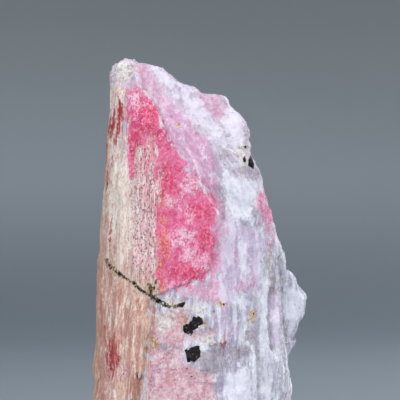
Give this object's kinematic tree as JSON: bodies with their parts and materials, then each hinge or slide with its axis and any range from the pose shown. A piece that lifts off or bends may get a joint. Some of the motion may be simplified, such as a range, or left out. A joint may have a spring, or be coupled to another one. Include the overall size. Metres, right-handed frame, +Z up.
{
  "type": "tugtupite specimen",
  "caption": "Upright splinter of striated pink, cream and white rock with black grains, on a flat foot, for showing the mineral.",
  "frame": {"origin": "middle of the stone's bounding box, on the surface that it stands on", "axes": "+Z up along the splinter, +Y away from the side with the pink patch, which faces -Y, +X to that side's right"},
  "size_m": [0.0236, 0.0168, 0.0518],
  "materials": {
    "tugtupite_rock": "natural broken rock: glassy pink, sugary white and fibrous cream grains",
    "black_grain": "natural black crystal faces, glossy"
  },
  "bodies": {
    "root": {"tugtupite_stone": "tugtupite_rock"}
  },
  "joints": []
}
